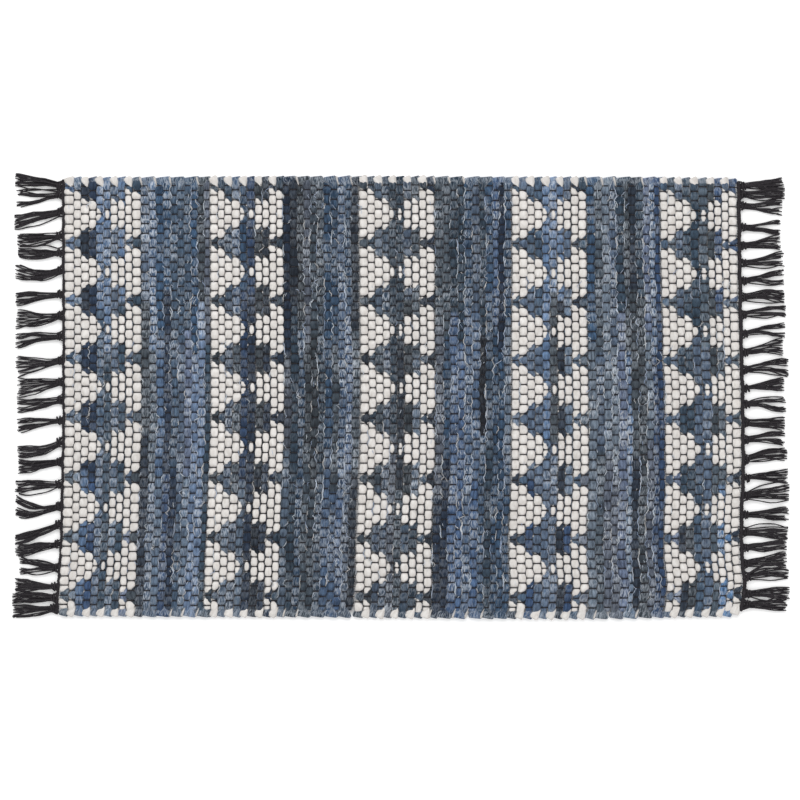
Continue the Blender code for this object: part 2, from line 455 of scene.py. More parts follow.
def join_pieces(name, parts, material):
    """One finished piece from its parts, riding on the rug's only body."""
    bpy.ops.object.select_all(action="DESELECT")
    for part in parts:
        part.select_set(True)
    bpy.context.view_layer.objects.active = parts[0]
    bpy.ops.object.join()
    piece = bpy.context.object
    piece.name = name
    piece.data.name = name
    piece.data.materials.clear()
    piece.data.materials.append(material)
    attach(piece, "root")
    print(name, len(piece.data.polygons), "faces")
    return piece


print("a strip has", len(strip_tube.loop_turn), "face corners to map")

# %% [markdown]
# ## Cloths and dyes
#
# The strips were cut from many worn garments, so the blues are a box of odd shades. Eighteen names
# are enough. Each is mixed in display colours, as a dyer's chart is, and changed to the linear
# light that shaders add up in.

# %% The dye chart
def linear(red, green, blue):
    """A colour from display values of 0 to 255."""
    values = np.array((red, green, blue)) / 255
    return np.where(values <= 0.04045, values / 12.92, ((values + 0.055) / 1.055) ** 2.4)


DYES = {
    "black": linear(34, 37, 46),
    "char": linear(56, 63, 75),
    "olive": linear(76, 81, 87),
    "navy": linear(53, 65, 85),
    "ink": linear(66, 85, 116),
    "petrol": linear(74, 98, 125),
    "teal": linear(67, 82, 97),
    "steel": linear(83, 99, 118),
    "slate": linear(98, 110, 129),
    "dusk": linear(101, 121, 150),
    "sky": linear(123, 139, 166),
    "royal": linear(98, 121, 157),
    "azure": linear(98, 129, 166),
    "lilac": linear(119, 127, 150),
    "taupe": linear(108, 111, 123),
    "ash": linear(126, 134, 146),
    "pewter": linear(90, 99, 109),
    "mist": linear(116, 129, 147),
}
CREAM = linear(228, 225, 222)
print(len(DYES), "denim dyes")

# %% [markdown]
# The dyes of each band, pick by pick from left to right, are charted at three heights: the far
# third of the rug, the middle and the near third. Where the name changes down a column, the weaver
# started a new strip. A colour picked at random for every strip would be shorter, but the stripes
# of the real rug are not random: pale and dark strips lie next to each other in a chosen order.

# %% The chart of dyes
Chart = namedtuple("Chart", "far middle near")
CHARTS = {
    "band_1": Chart(
        "dusk mist char navy dusk dusk slate dusk steel teal",
        "steel mist navy navy steel teal slate teal slate pewter",
        "pewter ash dusk ink slate teal mist teal lilac olive",
    ),
    "band_2": Chart(
        "slate dusk petrol petrol steel steel steel petrol olive taupe",
        "olive pewter dusk navy steel slate lilac sky sky teal",
        "char slate mist ink navy steel mist sky sky teal",
    ),
    "band_3": Chart(
        "pewter steel steel dusk petrol ink olive char char teal",
        "olive steel slate pewter ink navy olive navy navy navy",
        "pewter steel mist slate mist navy char navy navy teal",
    ),
    "band_4": Chart(
        "navy char olive taupe pewter pewter petrol petrol dusk petrol char",
        "taupe teal petrol olive olive teal petrol pewter dusk royal pewter",
        "mist teal petrol pewter pewter steel dusk dusk royal slate char",
    ),
    "band_5": Chart(
        "pewter teal mist steel teal teal slate pewter char navy",
        "char teal pewter slate teal char olive mist steel char",
        "pewter olive slate slate taupe pewter steel teal steel char",
    ),
    "band_6": Chart(
        "pewter pewter teal teal petrol slate teal petrol royal navy petrol",
        "taupe petrol royal royal dusk dusk black steel petrol petrol mist",
        "navy navy royal royal dusk royal petrol teal petrol petrol petrol",
    ),
    "band_7": Chart(
        "teal slate steel steel dusk sky dusk slate char teal",
        "slate slate slate slate dusk olive char mist steel pewter",
        "char steel ink slate slate slate char ink steel taupe",
    ),
    "band_8": Chart(
        "petrol pewter ash slate teal olive char teal lilac dusk ink",
        "ash slate ash ash lilac dusk olive olive ash ink ink",
        "ash pewter taupe taupe lilac mist char olive taupe ink ink",
    ),
    "band_9": Chart(
        "steel pewter slate teal teal pewter olive ink slate ink",
        "steel slate teal teal slate slate olive pewter slate pewter",
        "slate lilac char olive steel slate pewter azure azure char",
    ),
}
JOIN_PLACE = 110
JOIN_SPREAD = 55
BLOTCH = 0.12
STRIP_SHADE = 0.08
FADING = 0.09
FADING_LENGTH = 0.22


def charted_dyes(pick):
    """The far, the middle and the near dye of a pick."""
    return [DYES[row.split()[pick.column]] for row in CHARTS[pick.band.name]]


def charted_colours(pick, across):
    """The denim's colour at places along one pick, which changes at once where a strip ends."""
    far, middle, near = charted_dyes(pick)
    first = (JOIN_PLACE + JOIN_SPREAD * RANDOM.uniform(-1, 1)) * MM
    second = (-JOIN_PLACE + JOIN_SPREAD * RANDOM.uniform(-1, 1)) * MM
    colours = np.where(across[:, None] > first, far, np.where(across[:, None] > second, middle, near))
    shade = 1 + slow_waver(across, FADING, FADING_LENGTH)
    shade[2:-2] *= np.repeat(about(BLOTCH, len(WARPS)), 3)
    return colours * pick.band.depth * about(STRIP_SHADE) * shade[:, None]


print("charted:", sum(len(row.split()) for chart in CHARTS.values() for row in chart), "strips of denim")

# %% [markdown]
# How frayed a strip is goes with its dye: dark cloth is newer and frays less than pale cloth. It
# also changes along the strip, so that some stretches are smooth and others are worn.

# %% The wear of the denim
PALE_DENIM = 0.17
MOST_WORN = 0.9
WORN_PATCH = 0.6
WORN_PATCH_LENGTH = 0.14


def paleness(dyes):
    """How pale dyes are against a well worn denim."""
    return np.clip(np.mean(dyes, axis=-1) / PALE_DENIM, 0.15, 1.2)


def denim_wear(pick, across, colours):
    """How frayed the denim is along a pick: patches from smooth to worn."""
    level = RANDOM.uniform(0.0, MOST_WORN)
    worn = pick.band.wear * (level + slow_waver(across, WORN_PATCH, WORN_PATCH_LENGTH))
    return np.clip(worn, 0.05, 1.2) * paleness(colours / pick.band.depth)


print("paleness from", round(paleness(DYES["black"]), 2), "to", round(paleness(DYES["sky"]), 2))

# %% [markdown]
# ## Shader groups that the cloths share
#
# Denim, cotton and yarn have the same kinds of surface at different scales: streaks that run
# along the strip, threads that stand out of it, and the fine grain of the cloth itself. Each is a
# node group with its own inputs, built once. A group gives out only a mask or a height. The
# Principled shader stays outside it. Three helpers keep a node and its links on one line.

# %% Helpers for node trees
def add_node(tree, kind, inputs=(), output=0, **settings):
    """One output of a new node, given its settings and its inputs, by name or number, as links or values."""
    node = tree.nodes.new("ShaderNode" + kind)
    for key, value in settings.items():
        setattr(node, key, value)
    for name, value in dict(inputs).items():
        if isinstance(value, bpy.types.NodeSocket):
            tree.links.new(value, node.inputs[name])
        else:
            node.inputs[name].default_value = value
    return node.outputs[output]


def new_group(name, inputs, output):
    """A shader group with a vector input, number inputs and one number output."""
    group = bpy.data.node_groups.new(name, "ShaderNodeTree")
    group.interface.new_socket(name="Vector", in_out="INPUT", socket_type="NodeSocketVector")
    for socket, value in inputs.items():
        made = group.interface.new_socket(name=socket, in_out="INPUT", socket_type="NodeSocketFloat")
        made.default_value = value
    group.interface.new_socket(name=output, in_out="OUTPUT", socket_type="NodeSocketFloat")
    return group, group.nodes.new("NodeGroupInput").outputs, group.nodes.new("NodeGroupOutput").inputs[output]


def stretched_noise(group, given, detail, roughness):
    """A noise that is squeezed round the strip and drawn out along it, by Across and Along."""
    scale = add_node(group, "CombineXYZ", {"X": given["Across"], "Y": given["Along"]})
    place = add_node(group, "VectorMath", {0: given["Vector"], 1: scale}, operation="MULTIPLY")
    values = {"Vector": place, "Scale": 1.0, "Detail": detail, "Roughness": roughness}
    return add_node(group, "TexNoise", values, "Fac")


print(sum(kind.startswith("ShaderNode") for kind in dir(bpy.types)), "kinds of shader node to choose from")

# %% [markdown]
# The streaks are the stretched noise itself, with its contrast raised. A frayed thread is thinner
# than any streak, and winds about. It is the contour of a second noise, where that noise passes
# through its middle value. A wave texture would give lines too, but all side by side.

# %% Streaks and frayed threads
def build_streaks():
    """Soft streaks along the strip."""
    inputs = {"Across": 500.0, "Along": 30.0, "Low": 0.35, "High": 0.65}
    group, given, result = new_group("Lengthwise streaks", inputs, "Mask")
    noise = stretched_noise(group, given, 2.0, 0.6)
    mask = add_node(group, "MapRange", {"Value": noise, "From Min": given["Low"], "From Max": given["High"]})
    group.links.new(mask, result)
    return group


def build_threads():
    """Thin wandering lines along the strip."""
    inputs = {"Across": 350.0, "Along": 70.0, "Width": 0.06}
    group, given, result = new_group("Frayed threads", inputs, "Mask")
    noise = stretched_noise(group, given, 1.5, 0.5)
    middle = add_node(group, "Math", {0: noise, 1: 0.5}, operation="SUBTRACT")
    distance = add_node(group, "Math", {0: middle}, operation="ABSOLUTE")
    values = {"Value": distance, "From Max": given["Width"], "To Min": 1.0, "To Max": 0.0}
    group.links.new(add_node(group, "MapRange", values), result)
    return group


STREAKS = build_streaks()
THREADS = build_threads()
print("shader groups:", STREAKS.name, "and", THREADS.name)

# %% [markdown]
# Up close, cloth has the ribs of its own weave. Denim's run aslant, cotton's run straight, so the
# slope is an input. A noise breaks the ribs up, because worn cloth is never ribbed all over.

# %% The grain of the cloth
def build_grain():
    """Fine ribs, broken up by a noise."""
    group, given, result = new_group("Cloth grain", {"Ribs": 1400.0, "Slope": 0.8}, "Height")
    turned = add_node(
        group, "VectorRotate", {"Vector": given["Vector"], "Angle": given["Slope"]}, rotation_type="Z_AXIS"
    )
    wave = {"Vector": turned, "Scale": given["Ribs"], "Distortion": 1.5, "Detail": 1.0}
    ribs = add_node(group, "TexWave", wave, "Fac", bands_direction="X")
    speckle = {"Vector": given["Vector"], "Scale": 900.0, "Detail": 3.0, "Roughness": 0.7}
    fuzz = add_node(group, "TexNoise", speckle, "Fac")
    mixed = add_node(group, "Mix", {"Factor": 0.5, "A": ribs, "B": fuzz}, data_type="FLOAT")
    group.links.new(mixed, result)
    return group


GRAIN = build_grain()
print("shader group:", GRAIN.name)

# %% [markdown]
# ## The materials
#
# Every cloth here ends the same way: a colour, a roughness and a height that change over it, and a
# shader with a little sheen. Fibres scatter light, so the specular level is low throughout. The
# numbers that are the same all over a cloth stay on the shader's own sockets.

# %% How a cloth's material starts and ends
Finish = namedtuple("Finish", "bump depth specular sheen sheen_roughness")


def start_material(name):
    """An empty material, its tree and the strip's own map."""
    material = bpy.data.materials.new(name)
    material.use_nodes = True
    tree = material.node_tree
    return material, tree, add_node(tree, "UVMap", uv_map="Strip")


def use_group(tree, group, strip, **values):
    """The output of a shared group that reads the strip's own map."""
    return add_node(tree, "Group", {"Vector": strip, **values}, node_tree=group)


def mix_colours(tree, blend, share, first, second):
    """A colour mix of two sockets or plain colours."""
    values = {0: share, 6: first, 7: second}
    return add_node(tree, "Mix", values, 2, data_type="RGBA", blend_type=blend)


def finish_material(tree, colour, roughness, height, finish):
    """Link what changes over the cloth, and set what does not."""
    shader = tree.nodes["Principled BSDF"]
    values = {"Strength": finish.bump, "Distance": finish.depth, "Height": height}
    normal = add_node(tree, "Bump", values)
    for socket, value in (("Base Color", colour), ("Roughness", roughness), ("Normal", normal)):
        tree.links.new(value, shader.inputs[socket])
    shader.inputs["Specular IOR Level"].default_value = finish.specular
    shader.inputs["Sheen Weight"].default_value = finish.sheen
    shader.inputs["Sheen Roughness"].default_value = finish.sheen_roughness


print("a finish has", ", ".join(Finish._fields))

# %% [markdown]
# Denim is woven from a dyed and a white thread. Where it has worn or frayed, the white shows as
# thin pale lines along the strip. So the dye from the attribute is darkened and lightened by one
# set of streaks, and the frayed threads let the white through where the strip is worn.

# %% Denim
STREAK_DARK = (0.27, 0.33, 0.4, 1)
STREAK_LIGHT = (1.5, 1.66, 1.74, 1)
WHITE_THREAD = (0.66, 0.72, 0.8, 1)
DENIM_FINISH = Finish(0.8, 0.7 * MM, 0.15, 0.04, 0.6)


def build_denim():
    """Dyed cloth with soft streaks and a slanting rib, and white threads where it is worn."""
    material, tree, strip = start_material("Worn denim")
    dye = add_node(tree, "Attribute", attribute_name="Dye")
    wear = add_node(tree, "Attribute", (), "Fac", attribute_name="Wear")
    soft = use_group(tree, STREAKS, strip, Across=420.0, Along=60.0, Low=0.3, High=0.7)
    threads = use_group(tree, THREADS, strip, Across=430.0, Along=80.0, Width=0.095)
    grain = use_group(tree, GRAIN, strip, Ribs=1300.0, Slope=0.9)
    dark = mix_colours(tree, "MULTIPLY", 1.0, dye, STREAK_DARK)
    light = mix_colours(tree, "MULTIPLY", 1.0, dye, STREAK_LIGHT)
    streaked = mix_colours(tree, "MIX", soft, dark, light)
    limits = {"From Min": 0.25, "From Max": 0.75, "To Min": 0.7, "To Max": 1.35}
    fleck = add_node(tree, "MapRange", {"Value": grain, **limits})
    flecked = mix_colours(tree, "MULTIPLY", 1.0, streaked, fleck)
    thread = add_node(tree, "Math", {0: threads, 1: wear}, operation="MULTIPLY", use_clamp=True)
    frayed = mix_colours(tree, "MIX", thread, flecked, WHITE_THREAD)
    rough = add_node(tree, "MapRange", {"Value": soft, "To Min": 0.95, "To Max": 0.82})
    relief = add_node(tree, "Math", {0: soft, 1: 0.8, 2: grain}, operation="MULTIPLY_ADD")
    height = add_node(tree, "Math", {0: thread, 1: 0.8, 2: relief}, operation="MULTIPLY_ADD")
    finish_material(tree, frayed, rough, height, DENIM_FINISH)
    return material


DENIM = build_denim()
print(DENIM.name, "has", len(DENIM.node_tree.nodes), "nodes")

# %% [markdown]
# The cream strips are plain new cotton, smoother and a little shinier. They have only broad soft
# streaks of painted shade, standing in for the shade of the folds, and a straight grain.

# %% Cream cotton
# The darker colour of the streaks is painted shade, for the folds of the cloth.
COTTON_PAINTED_SHADE = (0.8, 0.78, 0.76, 1)
COTTON_FINISH = Finish(0.4, 0.5 * MM, 0.2, 0.08, 0.5)


def build_cotton():
    """Smooth pale cloth with faint streaks of painted shade."""
    material, tree, strip = start_material("Cream cotton")
    dye = add_node(tree, "Attribute", attribute_name="Dye")
    soft = use_group(tree, STREAKS, strip, Across=260.0, Along=90.0, Low=0.3, High=0.7)
    grain = use_group(tree, GRAIN, strip, Ribs=1100.0, Slope=0.0)
    shaded_dye = mix_colours(tree, "MULTIPLY", 1.0, dye, COTTON_PAINTED_SHADE)
    painted_folds = mix_colours(tree, "MIX", soft, shaded_dye, dye)
    rough = add_node(tree, "MapRange", {"Value": grain, "To Min": 0.8, "To Max": 0.95})
    finish_material(tree, painted_folds, rough, grain, COTTON_FINISH)
    return material


COTTON = build_cotton()
print(COTTON.name, "has", len(COTTON.node_tree.nodes), "nodes")

# %% [markdown]
# The warp is black plied yarn. Its plies twist round one another, so slanting ribs run up it.
# Real plies would be three times the geometry on the finest pieces of the rug, so here they are a
# wave texture on the yarn's own map: a bump, with painted shade in the grooves and painted light on
# the crests. The heading is thick enough for real ones.

# %% Black plied yarn
# The groove colour is painted shade and the crest colour is painted light, for the relief of the plies.
PLY_SHADED_GROOVE = (0.009, 0.0082, 0.0105, 1)
PLY_LIT_CREST = (0.032, 0.029, 0.034, 1)
# Lighter streaks, at random places along the yarn.
YARN_LIGHT_STREAK = (0.066, 0.059, 0.064, 1)
YARN_FINISH = Finish(0.8, 0.4 * MM, 0.12, 0.0, 0.5)


def build_yarn():
    """Slanting ribs that follow the twist, with painted shade in the grooves, and lighter streaks."""
    material, tree, strip = start_material("Black plied yarn")
    twist = add_node(tree, "VectorRotate", {"Vector": strip, "Angle": 0.6}, rotation_type="Z_AXIS")
    wave = {"Vector": twist, "Scale": 260.0, "Distortion": 0.6, "Detail": 1.0}
    plies = add_node(tree, "TexWave", wave, "Fac", bands_direction="Y")
    fuzz = use_group(tree, STREAKS, strip, Across=900.0, Along=300.0, Low=0.4, High=0.75)
    # Painted shade: the ply wave darkens the grooves and lightens the crests.
    painted_ply_shade = mix_colours(tree, "MIX", plies, PLY_SHADED_GROOVE, PLY_LIT_CREST)
    light_streaked = mix_colours(tree, "MIX", fuzz, painted_ply_shade, YARN_LIGHT_STREAK)
    rough = add_node(tree, "MapRange", {"Value": plies, "To Min": 0.9, "To Max": 0.7})
    finish_material(tree, light_streaked, rough, plies, YARN_FINISH)
    return material


YARN = build_yarn()
print(YARN.name, "has", len(YARN.node_tree.nodes), "nodes")

# %% [markdown]
# ## How a strip bulges
#
# Between two yarns the strip is a plump cushion. Where a yarn binds it, it is pinched narrow and
# pushed down. Each warp yarn gets three rings of the strip. The table says where they lie, how
# high the top and the underside are there, and how wide the strip is, as a share of its pick. Past
# the outermost yarn a neck and a tip close it.

# %% The rise and fall of a strip
Bulge = namedtuple("Bulge", "step top under width")
OVER_YARN = (Bulge(-3.9, 8.2, 1.2, 0.53), Bulge(0, 8.9, 3.1, 0.56), Bulge(3.9, 8.2, 1.2, 0.53))
UNDER_YARN = (Bulge(-1.4, 7.2, 0.3, 0.43), Bulge(0, 4.9, 0.05, 0.38), Bulge(1.4, 7.2, 0.3, 0.43))
NECK = Bulge(3.3, 7.5, 1.0, 0.45)
TIP = Bulge(5.5, 5.5, 2.5, 0.3)
SLACK = 0.1
SWELL = 0.07
LIFT = 0.04
FLOOR_SHARE = 0.04

Route = namedtuple("Route", "along across centre half_height half_width")


def end_rings(ring, pick, way):
    """The neck and the tip beyond a strip's last ring, to the far side (1) or the near side (-1)."""
    along, across = ring[:2]
    return [
        (along, across + way * row.step * MM, row.top * MM, row.under * MM, row.width * pick.width)
        for row in (NECK, TIP)
    ]


def strip_route(pick):
    """One pick's rings on the straight weave, from its far end to its near end."""
    plump = 1 if pick.band.figured else 1 - SLACK * RANDOM.uniform()
    rings = []
    for index in range(len(WARPS)):
        along, across = crossing_along[pick.number, index], crossing_across[pick.number, index]
        width = crossing_width[pick.number, index] * about(SWELL)
        lift = plump * about(LIFT) * MM
        for row in OVER_YARN if strip_over[pick.number, index] else UNDER_YARN:
            rings.append((along, across - row.step * MM, row.top * lift, row.under * MM, row.width * width))
    rings = [*end_rings(rings[0], pick, 1)[::-1], *rings, *end_rings(rings[-1], pick, -1)]
    along, across, top, under, width = np.array(rings).T
    return Route(along, across, (top + under) / 2, (top - under) / 2, width)


def pressed_flat(height, half_height):
    """A strip's middle and half height once the floor has pressed its underside flat."""
    top = height + half_height
    under = np.maximum(height - half_height, FLOOR_SHARE * top)
    return (top + under) / 2, (top - under) / 2


print("a strip is at most", OVER_YARN[1].top, "mm high")

# %% [markdown]
# ## Plain bands: one denim strip to a pick
#
# Folded rag is not a clean tube, so each strip is a lumpy copy of the tube on its own route. All the
# strips of a band become one piece, because nothing on a rug moves against the rest. The girth is
# how much cloth goes round the strip, in widths of its pick.

# %% Weave the plain bands
Cloth = namedtuple("Cloth", "girth square lumps")
PLAIN_CLOTH = Cloth(2.6, 0.74, 0.08)


def lay_strip(tube, pick, route, cloth):
    """One strip of cloth on its route, pressed flat below."""
    height, half_height = pressed_flat(route.centre, route.half_height)
    return lay(
        tube,
        placed(route.along, route.across, height),
        (RIGHT, UP),
        (route.half_width, half_height),
        cloth.girth * pick.width,
        (pick.column, len(PICKS_OF[pick.band.name])),
        cloth.square,
        cloth.lumps,
    )


def dye_denim(part, tube, pick, across):
    """The charted colours and the wear of one strip of denim."""
    colours = charted_colours(pick, across)
    dye_tube(part, tube, colours, denim_wear(pick, across, colours))


def weave_plain(band):
    """The denim piece of one plain band."""
    parts = []
    for pick in PICKS_OF[band.name]:
        route = strip_route(pick)
        part = lay_strip(strip_tube, pick, route, PLAIN_CLOTH)
        dye_denim(part, strip_tube, pick, route.across)
        parts.append(part)
    return join_pieces(f"{band.name}_denim", parts, DENIM)


plain_bands = {band.name: weave_plain(band) for band in BANDS if not band.figured}

# %% [markdown]
# ## Figured bands: a cream and a denim strip to a pick
#
# Here each pick holds two strips, one on the other. The weaver shows the cream one for some yarns,
# then twists the pair over so that the denim shows. The figure is an hourglass, and its chart
# says how far the cream reaches either side of the middle, in warp yarns, for each of the ten
# picks. The repeat is twelve yarns.
#
# Round the narrow waist of the hourglass the cream is folded narrow, and leans to one side. Share
# is how much of the pick's width it takes up.

# %% The figure
Figure = namedtuple("Figure", "reach share lean")
FIGURE = (
    Figure(5, 0.96, 0.0),
    Figure(5, 0.94, 0.0),
    Figure(3, 0.95, 0.0),
    Figure(3, 0.92, 0.0),
    Figure(1, 0.66, -0.28),
    Figure(1, 0.54, 0.1),
    Figure(3, 0.82, 0.0),
    Figure(3, 0.84, 0.0),
    Figure(5.2, 0.86, 0.0),
    Figure(4.8, 0.92, 0.0),
)
REPEAT = 12
FIGURE_MIDDLES = range(-REPEAT, int(WARPS[-1]) + REPEAT + 1, REPEAT)
pair_tube = model_tube("paired strip", 8, STRIP_RINGS)

# %% [markdown]
# The twist is a turn of the pair about its own middle: the cream always passes on the left. It is
# worked out as one angle at each ring, from which both strips take their places. A colour that
# changed along one strip would be simpler, but the slanting edges of the figures come from the
# cream strip as it really goes under.

# %% Twist the pair of strips
TWIST_LENGTH = 0.75
TWIST_SPREAD = 0.25
TWIST_SLIP = 0.12


def twist_of_pair(pick, route):
    """The pair's turn at each ring: a quarter up where the cream is on top, a quarter down under."""
    yarn_numbers = np.interp(-route.across, -crossing_across[pick.number], WARPS)
    turn = np.full(len(yarn_numbers), -math.pi / 2)
    for middle in FIGURE_MIDDLES:
        inside = FIGURE[pick.column].reach - np.abs(yarn_numbers - middle)
        length = TWIST_LENGTH * about(TWIST_SPREAD)
        share = np.clip(inside / length + TWIST_SLIP * RANDOM.uniform(-1, 1), -1, 1)
        turn = np.maximum(turn, math.pi / 2 * np.sin(share * math.pi / 2))
    return turn


print("figures along a pick:", len(FIGURE_MIDDLES))

# %% [markdown]
# Two strips in one pick share its height. The one on top is a little more than half as high as the
# pair, and rises by the lift. Where the pair turns they lie side by side, each narrower and
# higher. The cream tucks in its edges when it is under.

# %% Lay the pair
CREAM_CLOTH = Cloth(2.4, 0.78, 0.05)
PAIR_CLOTH = Cloth(2.4, 0.82, 0.08)
PAIR_LIFT = 0.46
PAIR_HEIGHT = 0.54
CREAM_ASIDE = 0.47
CREAM_TUCK = 0.32
CREAM_SLIM = 0.5
CREAM_RISE = 0.36
CREAM_SHADE = 0.03
CREAM_SHADE_LENGTH = 0.1
CREAM_BLOTCH = 0.04
DENIM_ASIDE = 0.5
DENIM_SLIM = 0.6
DENIM_RISE = 0.26
DENIM_LOW = 1.2 * MM
DENIM_LOW_ON_TOP = 0.3 * MM


def lay_cream(pick, route, turn):
    """The cream strip of a pair."""
    figure = FIGURE[pick.column]
    beside = np.cos(turn) ** 2
    under = np.clip(-np.sin(turn), 0, 1)
    aside = CREAM_ASIDE * np.clip(2 * figure.share - 1, 0, 1) * np.cos(turn)
    folded = (1 - CREAM_SLIM * beside) * (1 - (1 - figure.share) * (1 - under)) * (1 - CREAM_TUCK * under)
    own_route = Route(
        route.along + (figure.lean - aside) * route.half_width,
        route.across,
        route.centre + PAIR_LIFT * route.half_height * np.sin(turn),
        route.half_height * (PAIR_HEIGHT + CREAM_RISE * beside),
        route.half_width * folded,
    )
    part = lay_strip(pair_tube, pick, own_route, CREAM_CLOTH)
    shade = 1 + slow_waver(route.across, CREAM_SHADE, CREAM_SHADE_LENGTH)
    shade[2:-2] *= np.repeat(about(CREAM_BLOTCH, len(WARPS)), 3)
    dye_tube(part, pair_tube, CREAM * about(CREAM_SHADE) * shade[:, None])
    return part


def lay_denim(pick, route, turn):
    """The denim strip of a pair, which lies low beside the cream."""
    beside = np.cos(turn) ** 2
    on_top = np.clip(-np.sin(turn), 0, 1)
    low = DENIM_LOW * beside + DENIM_LOW_ON_TOP * on_top
    slim = DENIM_SLIM * np.clip(2 * FIGURE[pick.column].share - 1, 0, 1)
    own_route = Route(
        route.along + DENIM_ASIDE * np.cos(turn) * route.half_width,
        route.across,
        route.centre - PAIR_LIFT * route.half_height * np.sin(turn) - low,
        route.half_height * (PAIR_HEIGHT + DENIM_RISE * beside),
        route.half_width * (1 - slim * beside) * (1 - 0.03 * on_top),
    )
    part = lay_strip(pair_tube, pick, own_route, PAIR_CLOTH)
    dye_denim(part, pair_tube, pick, route.across)
    return part


def weave_figured(band):
    """The cream piece and the denim piece of one figured band."""
    cream_parts, denim_parts = [], []
    for pick in PICKS_OF[band.name]:
        route = strip_route(pick)
        turn = twist_of_pair(pick, route)
        cream_parts.append(lay_cream(pick, route, turn))
        denim_parts.append(lay_denim(pick, route, turn))
    cream = join_pieces(f"{band.name}_cream", cream_parts, COTTON)
    denim = join_pieces(f"{band.name}_denim", denim_parts, DENIM)
    return cream, denim


figured_bands = {band.name: weave_figured(band) for band in BANDS if band.figured}

# %% [markdown]
# ## The warp
#
# A warp yarn does the opposite of the strips: over where they dip, under where they bulge. Two
# rings at each crossing keep it flat over the strip and steep between two picks. The yarns are
# cut at the edges of the bands, where a strip hides the cut, so that no piece is longer than the
# rug is wide.

# %% Weave the warp yarns
YARN_RADIUS = 0.95 * MM
OVER_HEIGHT = 6.2 * MM
UNDER_HEIGHT = 2.4 * MM
BIND_SHARE = 0.3
HIDDEN_SHARE = 0.25
END_GAP = 6 * MM


def warp_route(picks, index):
    """One yarn's centres through the picks of a band."""
    rings = []
    for pick in picks:
        height = UNDER_HEIGHT if strip_over[pick.number, index] else OVER_HEIGHT
        for step in (-BIND_SHARE, BIND_SHARE):
            along = crossing_along[pick.number, index] + step * pick.width
            rings.append((along, crossing_across[pick.number, index], height))
    for place, way in ((0, -1), (-1, 1)):
        pick = picks[place]
        at_end = pick is PICKS[place]
        gap = END_GAP if at_end else HIDDEN_SHARE * pick.width
        ring = (rings[place][0] + way * gap, rings[place][1], (OVER_HEIGHT + UNDER_HEIGHT) / 2)
        rings = [ring, *rings] if way < 0 else [*rings, ring]
    return placed(*np.array(rings).T)


def weave_warp(band):
    """All the warp yarns of one band."""
    picks = PICKS_OF[band.name]
    tube = model_tube("warp yarn", 4, 2 * len(picks) + 2)
    radii = np.full(tube.rings, YARN_RADIUS)
    parts = []
    for index in range(len(WARPS)):
        centres = warp_route(picks, index)
        girth, slot = 2 * math.pi * YARN_RADIUS, (index, len(WARPS))
        parts.append(lay(tube, centres, level_frame(centres), (radii, radii), girth, slot))
    return join_pieces(f"{band.name}_warp", parts, YARN)


warps = {band.name: weave_warp(band) for band in BANDS}

# %% [markdown]
# ## The selvedges
#
# At the long sides each strip turns back into the next pick. A turn shows as one plump drop, wide
# and square at the edge and narrow inside, that leans towards the left. In the figured bands a cream
# one and a denim one take turns. In the plain bands one denim turn spans two picks, and a sliver of
# cream peeps out between two. A turn is a short copy of the tube. Its place is a share of the
# pick's width away from the pick's middle.

# %% Lay one turn
TURN_RINGS = 8
TURN_INNER = 316.5 * MM
TURN_OUTER = 331.0 * MM
TURN_UNDER = 0.3 * MM
TURN_HOLLOW = 1.6 * MM
TURN_PLUMP = ((0, 0.15, 0.4, 0.65, 0.86, 1), (0.2, 0.4, 0.76, 1, 1, 0.84))
turn_tube = model_tube("turn", 10, TURN_RINGS)

Turn = namedtuple("Turn", "half_width lean top")
CREAM_TURN = Turn(6.7 * MM, 7.0 * MM, 8.9 * MM)
DENIM_TURN = Turn(7.4 * MM, 3.0 * MM, 7.7 * MM)
PLAIN_TURN = Turn(12.0 * MM, 2.0 * MM, 8.3 * MM)
SLIVER = Turn(1.8 * MM, 3.6 * MM, 8.7 * MM)
CORNER_TURN = Turn(8.6 * MM, 5.0 * MM, 9.0 * MM)


def lay_turn(side, pick, place, turn, colour, wear=0.0):
    """One turn at the far side (1) or the near side (-1)."""
    index = 0 if side > 0 else -1
    along = crossing_along[pick.number, index] + place * crossing_width[pick.number, index]
    share = np.linspace(0, 1, TURN_RINGS)
    plump = np.interp(share, *TURN_PLUMP)
    width = turn.half_width * about(0.12) * plump
    x = along + turn.lean * (0.5 - share) * about(0.3)
    top = turn.top * (0.75 + 0.25 * plump) * about(0.04)
    under = TURN_HOLLOW * (1 - plump) + TURN_UNDER
    centres = placed(x, side * (TURN_INNER + (TURN_OUTER - TURN_INNER) * share), (top + under) / 2)
    directions, size = (level_frame(centres)[0], UP), (width, (top - under) / 2)
    girth, slot = 5 * turn.half_width, (pick.number, len(PICKS))
    part = lay(turn_tube, centres, directions, size, girth, slot, 0.8, 0.04)
    dye_tube(part, turn_tube, colour, wear)
    return part


print("a turn reaches", round((TURN_OUTER - TURN_INNER) / MM, 1), "mm")

# %% [markdown]
# The far side starts with a turn at the first pick of each band, and the near side at the second,
# because one strip runs up and the next runs down. The first pick's far corner and the last pick's
# near corner have a thicker turn, where the end of the strip is tucked in.

# %% Turn all the strips
SLIVER_CHANCE = 0.6
# The sliver's cream is darkened by painted shade, for the gap between two turns where it lies.
SLIVER_PAINTED_SHADE = 0.8
FIGURED_PLACE = 0.1


def end_dye(pick, side):
    """The dye of a pick's denim at the far side (1) or the near side (-1)."""
    far, _, near = charted_dyes(pick)
    return (far if side > 0 else near) * pick.band.depth * about(0.1)


